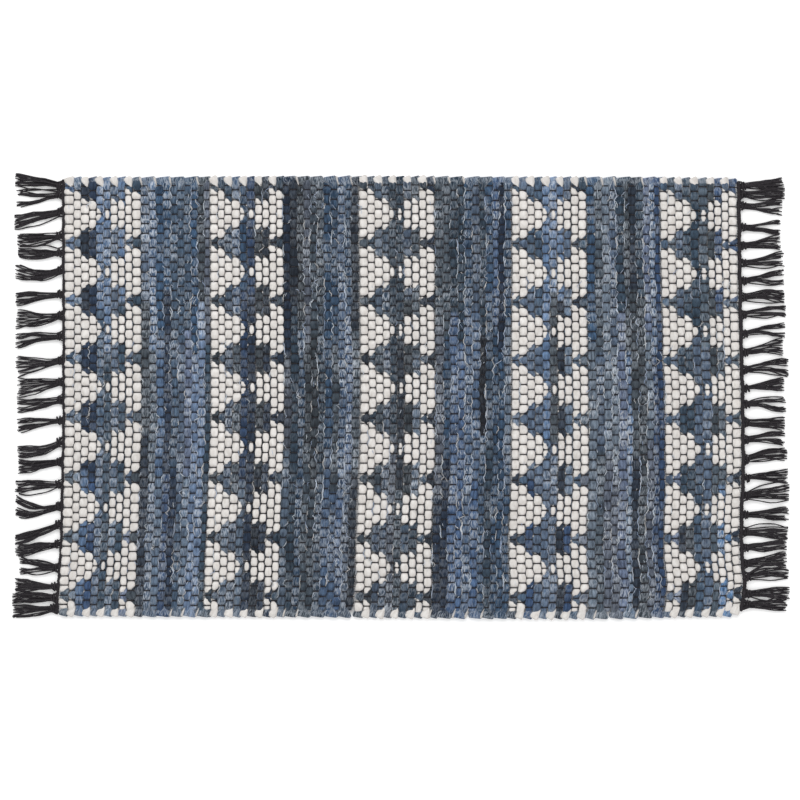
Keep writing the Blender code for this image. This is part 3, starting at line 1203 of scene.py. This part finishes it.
def lay_selvedge(side):
    """The cream turns and the denim turns of one long side, as two pieces."""
    cream, denim = [], []
    name, first_turn, corner = ("far", 0, PICKS[0]) if side > 0 else ("near", 1, PICKS[-1])
    for pick in PICKS:
        turns_here = pick.column % 2 == first_turn
        if pick.band.figured and turns_here:
            tint = CREAM * about(0.04)
            turn = CORNER_TURN if pick is corner else CREAM_TURN
            cream.append(lay_turn(side, pick, FIGURED_PLACE, turn, tint))
        elif pick.band.figured:
            denim.append(lay_turn(side, pick, FIGURED_PLACE, DENIM_TURN, end_dye(pick, side), 0.6))
        elif turns_here or pick.column == 0:
            place, turn = (0.5, PLAIN_TURN) if turns_here else (0, DENIM_TURN)
            denim.append(lay_turn(side, pick, place, turn, end_dye(pick, side), 0.7))
            if RANDOM.uniform() < SLIVER_CHANCE:
                # The sliver is cream darkened with painted shade.
                cream.append(lay_turn(side, pick, -0.5, SLIVER, CREAM * SLIVER_PAINTED_SHADE))
    return (
        join_pieces(f"selvedge_{name}_cream", cream, COTTON),
        join_pieces(f"selvedge_{name}_denim", denim, DENIM),
    )


selvedges = [piece for side in (1, -1) for piece in lay_selvedge(side)]

# %% [markdown]
# ## The frays
#
# Torn cloth sheds threads. They lie in the grooves between two picks, and wind from side to side
# with the bulges. A few short ones curl on top, and fine hairs are spread over the whole pick. Hair
# curves would be the usual way, but these are few and short enough to be copies of one thin tube,
# each with its own colour.
#
# Where the cream has just gone under the denim, small dots of it still peep out of the groove. A dot
# is the same tube, short and thick.

# %% Lay one frayed thread
Fray = namedtuple("Fray", "shortest longest swing spread top radius")
THREAD = Fray(0.5, 3.2, 1.1, 0.0, 8.3, 0.58)
CURL = Fray(0.6, 1.8, 2.8, 0.0, 8.9, 0.5)
HAIR = Fray(0.3, 1.1, 1.4, 0.6, 9.0, 0.42)
DOT = Fray(0.3, 0.4, 0.0, 0.0, 7.4, 1.15)
FRAY_RINGS = 7
FRAY_GIRTH = 3 * THREAD.radius * MM
GROOVE_SWING = 0.9 * MM
FRAY_WAVES = (1.5, 4)
FRAY_UPS_AND_DOWNS = 0.4
fray_tube = model_tube("fray", 3, FRAY_RINGS)


def lay_fray(slot, pick, kind, start, colour):
    """A thread in the groove at the left edge of a pick, from one warp yarn on."""
    span = RANDOM.uniform(kind.shortest, kind.longest)
    yarns = np.clip(start + span * np.linspace(0, 1, FRAY_RINGS), 0, LAST_YARN)
    indices = np.arange(len(WARPS))
    zigzag = np.interp(yarns, indices, np.where(strip_over[pick.number], -1.0, 1.0))
    along = np.interp(yarns, indices, pick_start[pick.number]) + GROOVE_SWING * zigzag
    along += kind.swing * MM * np.sin(yarns * RANDOM.uniform(*FRAY_WAVES) + RANDOM.uniform(0, 6))
    along += 0.5 * kind.swing * MM * RANDOM.uniform(-1, 1, FRAY_RINGS)
    along += kind.spread * pick.width * RANDOM.uniform(-1, 1)
    across = np.interp(yarns, indices, crossing_across[pick.number])
    across -= np.linspace(0, 0.01, FRAY_RINGS) * MM  # no two rings are ever at one place
    height = (kind.top + FRAY_UPS_AND_DOWNS * RANDOM.uniform(-1, 1, FRAY_RINGS)) * MM
    centres = placed(along, across, height)
    ends = 1 - 0.5 * np.abs(np.linspace(-1, 1, FRAY_RINGS)) ** 3
    radii = kind.radius * MM * ends * about(0.25, FRAY_RINGS)
    part = lay(fray_tube, centres, level_frame(centres), (radii, radii), FRAY_GIRTH, slot)
    dye_tube(part, fray_tube, colour)
    return part


print("the longest thread crosses", THREAD.longest, "warp yarns")

# %% [markdown]
# Some picks are full of threads and some have hardly any. Pale, worn denim sheds the most, and the
# figured bands shed few. The counts are those of a pick that is full of them, and its curls are
# always fewer than theirs.

# %% Scatter the threads
FRAY_DYES = (
    linear(232, 242, 252),
    linear(222, 232, 246),
    linear(200, 214, 236),
    linear(165, 184, 214),
    linear(238, 238, 238),
)
Counts = namedtuple("Counts", "threads hairs curls")
FIGURED_COUNTS = Counts(9, 6, 3)
PLAIN_COUNTS = Counts(50, 34, 10)
DOT_CHANCE = 0.3


def list_frays():
    """Which threads, hairs, curls and dots lie where: the pick, the kind, the yarn and the colour."""
    found = []
    for pick in PICKS[1:]:
        most = FIGURED_COUNTS if pick.band.figured else PLAIN_COUNTS
        full = RANDOM.uniform() ** 1.5 * paleness(np.mean(charted_dyes(pick), axis=0))
        kinds = [THREAD] * int(round(most.threads * full)) + [HAIR] * int(round(most.hairs * full))
        kinds += [CURL] * int(RANDOM.integers(0, most.curls))
        for kind in kinds:
            colour = FRAY_DYES[RANDOM.integers(len(FRAY_DYES))]
            found.append((pick, kind, RANDOM.uniform(0, LAST_YARN - kind.longest), colour))
        if pick.band.figured and pick.column:
            for middle in range(0, int(WARPS[-1]) + 1, REPEAT):
                for side in (-1, 1):
                    beyond = FIGURE[pick.column].reach + RANDOM.uniform(0.2, 2.2)
                    yarn = middle + side * beyond - WARPS[0]
                    if RANDOM.uniform() < DOT_CHANCE and 0 < yarn < LAST_YARN:
                        found.append((pick, DOT, yarn, CREAM))
    return found


wanted = list_frays()
fray_parts = [lay_fray((number, len(wanted)), *fray) for number, fray in enumerate(wanted)]
frays = join_pieces("frays", fray_parts, COTTON)

# %% [markdown]
# ## The headings
#
# Black yarn is twined along each short end to keep the last pick in. It is three plies round one
# another: each ply is a helix about the heading's own line, a third of a turn apart. A screw
# modifier makes a helix too, but a straight one, and this one follows the bowed end of the rug.

# %% Twine the headings
Heading = namedtuple("Heading", "offset ply coil")
HEADINGS = {-1: Heading(-0.8 * MM, 1.45 * MM, 1.15 * MM), 1: Heading(2.2 * MM, 1.85 * MM, 1.6 * MM)}
END_NAMES = {-1: "left", 1: "right"}
PLIES = 3
HEADING_RINGS = 265
HEADING_PITCH = 11.0 * MM
HEADING_INSET = 3.5 * MM
HEADING_RISE = 5.0 * MM
HEADING_WAVER = 0.8 * MM
HEADING_WAVELENGTH = 0.05
PLY_SPREAD = 0.12
heading_tube = model_tube("heading ply", 5, HEADING_RINGS)


def ends_at(side, across):
    """X of the weave's short end at places across the rug."""
    x, _ = on_outline(np.full(len(across), side * BODY_LENGTH / 2), across)
    return x


def twine_heading(side):
    """The plies of the left heading (-1) or the right one (1)."""
    parts = []
    heading = HEADINGS[side]
    reach = BODY_WIDTH / 2 - HEADING_INSET
    across = np.linspace(-reach, reach, HEADING_RINGS)
    waver = slow_waver(across, HEADING_WAVER, HEADING_WAVELENGTH)
    for ply in range(PLIES):
        turn = 2 * math.pi * (across / HEADING_PITCH + ply / PLIES)
        x = ends_at(side, across) + side * (heading.offset + waver + heading.coil * np.cos(turn))
        _, y = on_outline(x, across)
        centres = np.column_stack((x, y, HEADING_RISE + heading.coil * np.sin(turn)))
        radii = heading.ply * about(PLY_SPREAD, HEADING_RINGS)
        girth = 2 * math.pi * heading.ply
        parts.append(lay(heading_tube, centres, level_frame(centres), (radii, radii), girth, (ply, PLIES)))
    return join_pieces(f"heading_{END_NAMES[side]}", parts, YARN)


headings = {side: twine_heading(side) for side in (-1, 1)}

# %% [markdown]
# ## The tassels
#
# The warp ends are gathered and knotted hard against the heading, 13 to 15 strands to a tassel. The
# two tables give each tassel's root, where its tips aim, their spread, and how far they reach, all
# in millimetres, close to the plain combs in the frame. Sag is how far its middle hangs aside, and
# split is how far it parts in two ribbons, from 0 to 1.

# %% The tassels of both ends
Tassel = namedtuple("Tassel", "root aim spread reach sag split")
LEFT_TASSELS = (
    Tassel(318, 328, 18, 69, 1, 0.1),
    Tassel(306, 299, 29, 67, 0, 0.9),
    Tassel(280, 265, 21, 70, 1, 0.3),
    Tassel(244, 238, 17, 66, 0, 0.1),
    Tassel(218, 218, 15, 65, 0, 0.2),
    Tassel(192, 190, 22, 69, -7, 0.0),
    Tassel(156, 150, 21, 69, 0, 0.4),
    Tassel(124, 118, 28, 69, -1, 0.2),
    Tassel(93, 86, 24, 69, 2, 0.7),
    Tassel(56, 46, 31, 69, 0, 0.0),
    Tassel(24, 16, 27, 67, 0, 0.0),
    Tassel(-3, -12, 21, 67, -1, 0.3),
    Tassel(-34, -41, 21, 67, 0, 0.4),
    Tassel(-66, -82, 18, 66, -4, 0.1),
    Tassel(-96, -104, 20, 64, 0, 0.0),
    Tassel(-130, -134, 20, 69, 0, 0.1),
    Tassel(-163, -164, 34, 67, -6, 0.4),
    Tassel(-190, -213, 15, 67, 0, 0.0),
    Tassel(-220, -230, 17, 66, 0, 0.1),
    Tassel(-256, -253, 29, 58, 0, 0.8),
    Tassel(-284, -282, 19, 62, -1, 0.0),
    Tassel(-301, -302, 15, 65, 1, 0.0),
    Tassel(-316, -323, 20, 64, 0, 0.1),
)
RIGHT_TASSELS = (
    Tassel(319, 322, 14, 65, 0, 0.0),
    Tassel(307, 307, 14, 66, 0, 0.0),
    Tassel(289, 287, 26, 62, 0, 0.3),
    Tassel(257, 257, 26, 59, -1, 0.9),
    Tassel(229, 234, 24, 59, 0, 0.3),
    Tassel(203, 208, 23, 64, 0, 0.3),
    Tassel(176, 182, 27, 63, 0, 0.7),
    Tassel(151, 153, 18, 63, 2, 0.0),
    Tassel(125, 129, 17, 65, 3, 0.7),
    Tassel(96, 102, 25, 63, 2, 0.8),
    Tassel(68, 76, 24, 60, 2, 0.1),
    Tassel(42, 45, 30, 67, 3, 0.6),
    Tassel(14, 20, 20, 60, 1, 0.1),
    Tassel(-10, -11, 27, 62, 2, 0.8),
    Tassel(-37, -40, 19, 60, 0, 0.1),
    Tassel(-63, -61, 24, 60, 1, 0.5),
    Tassel(-93, -84, 17, 63, 1, 0.0),
    Tassel(-121, -117, 22, 64, 0, 0.2),
    Tassel(-148, -143, 27, 67, 1, 0.2),
    Tassel(-176, -176, 21, 68, 0, 0.4),
    Tassel(-202, -203, 20, 67, 0, 0.1),
    Tassel(-226, -222, 16, 65, 0, 0.4),
    Tassel(-250, -243, 19, 64, 0, 0.0),
    Tassel(-270, -262, 19, 64, 2, 0.1),
    Tassel(-295, -294, 19, 65, 0, 0.0),
    Tassel(-311, -312, 19, 63, 0, 0.0),
)
TASSELS = {-1: LEFT_TASSELS, 1: RIGHT_TASSELS}
print(len(LEFT_TASSELS), "tassels on the left,", len(RIGHT_TASSELS), "on the right")

# %% [markdown]
# Each strand leaves the heading over a broad root, is drawn in by the knot, and falls apart from its
# neighbours to its own tip. Strands of one tassel share a slow wave and have a smaller one each, and
# here and there one bows out on its own. A cloth or hair simulation could let them fall, but each
# tassel was laid by hand, and its table says how.

# %% The route of one strand
ROOT_STATIONS = np.array([-2.5, 0.5, 3.5, 7.0, 11.0])
FREE_STATIONS = np.array([0.26, 0.37, 0.48, 0.6, 0.72, 0.84, 0.93, 1.0])
STRAND_RINGS = len(ROOT_STATIONS) + len(FREE_STATIONS)
LEAST_STRANDS = 13
MOST_STRANDS = 15
STRAND_COLUMNS = 16
STRAND_RADIUS = 1.3 * MM
LOWEST_STRAND = 1.6


def strand_route(tassel, seat, tip, shared, bow):
    """One strand's rings: seat is its place in the knot and tip its place at the end, -1 to 1."""
    reach = tassel.reach * (1.04 - 0.1 * RANDOM.uniform() ** 2)
    out = np.concatenate((ROOT_STATIONS, FREE_STATIONS * reach))
    share = np.clip(out / reach, 0, 1)
    fall = share * (1.4 - 0.4 * share)
    mingle = np.clip((out - 4) / 40, 0, 1)
    place = seat * (1 - mingle) + tip * mingle
    tips = tassel.spread / 2 + 0.3
    half = np.interp(out, (-2.5, 0.5, 3.5, 7, 12, 24, reach), (9.5, 9, 6.8, 5.2, 5.4, 6.6, tips))
    own = 0.9 * np.sin(out / RANDOM.uniform(4, 8) + RANDOM.uniform(0, 6))
    across = tassel.root + (tassel.aim - tassel.root) * fall + place * half
    across += (tassel.sag + bow) * np.sin(math.pi * share)
    across += share * (own + 1.2 * np.sin(out / shared[0] + shared[1]))
    height = np.interp(out, (-2.5, 3.5, 7, 16, reach), (4.0, 5.0, 4.4, 3.2, 2.2))
    height += np.interp(out, (0, 6, 16, reach), (0.5, 1.8, 1.8, 1.1)) * RANDOM.uniform(-1, 1)
    return out * MM, across * MM, np.maximum(height, LOWEST_STRAND) * MM


print("a strand has", STRAND_RINGS, "rings")

# %% [markdown]
# The knot is two turns of yarn round the bundle, each a closed loop a little askew. A real knot
# crosses over itself, but at this size only the collar that it makes can be seen.

# %% Tie a tassel
Loop = namedtuple("Loop", "out half_width")
KNOT_LOOPS = (Loop(4.2, 6.0), Loop(7.4, 5.0))
KNOT_RINGS = 11
KNOT_RADIUS = 1.3 * MM
KNOT_GIRTH = 6 * MM
KNOT_MIDDLE = 4.6
KNOT_HALF_HEIGHT = 3.0
ROOT_GAP = 1.6 * MM
BOW_CHANCE = 0.07
RIBBON_MIDDLE = 0.6
RIBBON_PULL = 0.55
SEAT_SHUFFLE = 0.45
STRAND_SPREAD = 0.15
KNOT_LEAN = 1.5
KNOT_SPREAD = 0.4
strand_tube = model_tube("strand", 4, STRAND_RINGS)
knot_tube = model_tube("knot loop", 5, KNOT_RINGS)


def lay_strands(side, root_x, tassel, slot, slots):
    """The strands of one tassel."""
    strands = []
    count = int(RANDOM.integers(LEAST_STRANDS, MOST_STRANDS + 1))
    shared = (RANDOM.uniform(9, 15), RANDOM.uniform(0, 6))
    seats = RANDOM.permutation(np.linspace(-1, 1, count))
    for index in range(count):
        tip = -1 + 2 * (index + 0.4 * RANDOM.uniform(-1, 1)) / (count - 1)
        ribbon = RIBBON_MIDDLE if tip > 0 else -RIBBON_MIDDLE
        tip += tassel.split * RIBBON_PULL * (ribbon - tip)
        bow = RANDOM.uniform(3, 7) * np.sign(tip) if RANDOM.uniform() < BOW_CHANCE else 0
        seat = SEAT_SHUFFLE * seats[index] + (1 - SEAT_SHUFFLE) * tip
        out, across, height = strand_route(tassel, seat, tip, shared, bow)
        centres = np.column_stack((root_x + side * out, across, height))
        radii = STRAND_RADIUS * about(STRAND_SPREAD, STRAND_RINGS)
        radii[-1] *= 0.7
        girth, place = 2 * math.pi * STRAND_RADIUS, (slot * STRAND_COLUMNS + index, slots * STRAND_COLUMNS)
        strands.append(lay(strand_tube, centres, level_frame(centres), (radii, radii), girth, place))
    return strands


def lay_knot(side, root_x, tassel, slot, slots):
    """The two loops of one tassel's knot."""
    loops = []
    angle = np.linspace(0, 2 * math.pi, KNOT_RINGS)
    radii = np.full(KNOT_RINGS, KNOT_RADIUS)
    outwards = side * RIGHT
    for index, loop in enumerate(KNOT_LOOPS):
        x = root_x + side * (loop.out + RANDOM.uniform(-KNOT_LEAN, KNOT_LEAN) * np.cos(angle)) * MM
        y = (tassel.root + (loop.half_width + RANDOM.uniform(-KNOT_SPREAD, KNOT_SPREAD)) * np.cos(angle)) * MM
        z = (KNOT_MIDDLE + KNOT_HALF_HEIGHT * np.sin(angle)) * MM
        centres = np.column_stack((x, y, z))
        directions = (level_frame(centres, outwards)[0], outwards)
        place = (slot * len(KNOT_LOOPS) + index, slots * len(KNOT_LOOPS))
        loops.append(lay(knot_tube, centres, directions, (radii, radii), KNOT_GIRTH, place))
    return loops


def tie_fringe(side):
    """The strands and the knots of one end, as two pieces."""
    strands, loops = [], []
    tassels = TASSELS[side]
    for slot, tassel in enumerate(tassels):
        end_x = ends_at(side, np.array([tassel.root * MM]))[0]
        root_x = end_x + side * (HEADINGS[side].offset + ROOT_GAP)
        strands += lay_strands(side, root_x, tassel, slot, len(tassels))
        loops += lay_knot(side, root_x, tassel, slot, len(tassels))
    return (
        join_pieces(f"tassels_{END_NAMES[side]}", strands, YARN),
        join_pieces(f"knots_{END_NAMES[side]}", loops, YARN),
    )


fringes = {side: tie_fringe(side) for side in (-1, 1)}

# %% [markdown]
# ## The table
#
# The rug lies on a plain pale table, which glows faintly, as a light table does. That keeps the rug's
# shadow soft and the ground near white. Beneath the woven part there is no glow, or it would shine
# through the slits between two picks.

# %% Build the table
TABLE_SIZE = 8
TABLE_GLOW = 0.2
GLOW_STARTS, GLOW_FULL = -10 * MM, 4 * MM


def build_table_material():
    """A pale matt top whose glow starts at the edge of the weave."""
    material = bpy.data.materials.new("Pale table")
    material.use_nodes = True
    tree = material.node_tree
    shader = tree.nodes["Principled BSDF"]
    shader.inputs["Base Color"].default_value = (0.93, 0.93, 0.93, 1)
    shader.inputs["Roughness"].default_value = 0.9
    place = add_node(tree, "TexCoord", (), "Object")
    split = add_node(tree, "SeparateXYZ", {"Vector": place}).node.outputs
    beyond = []
    for axis, half in (("X", BODY_LENGTH / 2), ("Y", BODY_WIDTH / 2)):
        distance = add_node(tree, "Math", {0: split[axis]}, operation="ABSOLUTE")
        beyond.append(add_node(tree, "Math", {0: distance, 1: half}, operation="SUBTRACT"))
    outside = add_node(tree, "Math", dict(enumerate(beyond)), operation="MAXIMUM")
    limits = {"From Min": GLOW_STARTS, "From Max": GLOW_FULL, "To Max": TABLE_GLOW}
    glow = add_node(tree, "MapRange", {"Value": outside, **limits})
    shader.inputs["Emission Color"].default_value = (1, 1, 1, 1)
    tree.links.new(glow, shader.inputs["Emission Strength"])
    return material


bpy.ops.object.select_all(action="DESELECT")
bpy.ops.mesh.primitive_plane_add(size=TABLE_SIZE, location=(0, 0, 0))
table = bpy.context.object
table.name = "table"
table.data.materials.append(build_table_material())
table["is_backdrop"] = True
print("the table is", TABLE_SIZE, "m wide")

# %% [markdown]
# ## The lights and the camera
#
# One broad soft light from the far side gives the strips their roundness, a weaker one from the near
# side opens their shadows, and a white sky fills the rest. The rug is seen square from above through
# a long lens, from so high that the view takes in the whole of it.

# %% Lights
def area_light(name, place, size, power):
    """A square soft light that looks at the rug's middle."""
    data = bpy.data.lights.new(name, "AREA")
    data.size = size
    data.energy = power
    light = bpy.data.objects.new(name, data)
    light.location = place
    x, y, z = place
    light.rotation_euler = (math.atan2(math.hypot(x, y), z), 0, math.atan2(-y, -x) - math.pi / 2)
    bpy.context.scene.collection.objects.link(light)
    return light


lights = [
    area_light("far light", (-0.6, 2.2, 2.6), 2.2, 55),
    area_light("near light", (1.2, -2.4, 2.8), 2.4, 18),
]
world = bpy.data.worlds.new("Soft sky")
world.use_nodes = True
world.node_tree.nodes["Background"].inputs["Color"].default_value = (1, 1, 1, 1)
world.node_tree.nodes["Background"].inputs["Strength"].default_value = 0.75
bpy.context.scene.world = world
bpy.context.scene.view_settings.view_transform = "Standard"
print("lights:", [light.name for light in lights])

# %% Camera
VIEW_WIDTH = 1.2024
VIEW_CENTRE_Y = -3.4 * MM
LENS = 85
SENSOR = 36
camera_data = bpy.data.cameras.new("camera")
camera_data.lens = LENS
camera_data.sensor_width = SENSOR
camera = bpy.data.objects.new("camera", camera_data)
camera.location = (0, VIEW_CENTRE_Y, VIEW_WIDTH * LENS / SENSOR + BODY_THICKNESS)
bpy.context.scene.collection.objects.link(camera)
bpy.context.scene.camera = camera
print("the camera is", round(camera.location.z, 3), "m up")

# %% [markdown]
# ## The plain solids give way
#
# The new pieces take the place of the plain solids, which stay in the frame for collision.
#
# The rug is one cloth, woven to size and never cut.

body_pieces = [*plain_bands.values(), *(piece for pair in figured_bands.values() for piece in pair)]
for piece in [*body_pieces, *warps.values(), *selvedges, frays]:
    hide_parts("woven_body")
for side, node in ((-1, "fringe_left"), (1, "fringe_right")):
    for piece in (headings[side], *fringes[side]):
        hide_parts(node)

triangles = sum(len(face.vertices) - 2 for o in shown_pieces() if o.type == "MESH" for face in o.data.polygons)
print(triangles, "triangles in all")
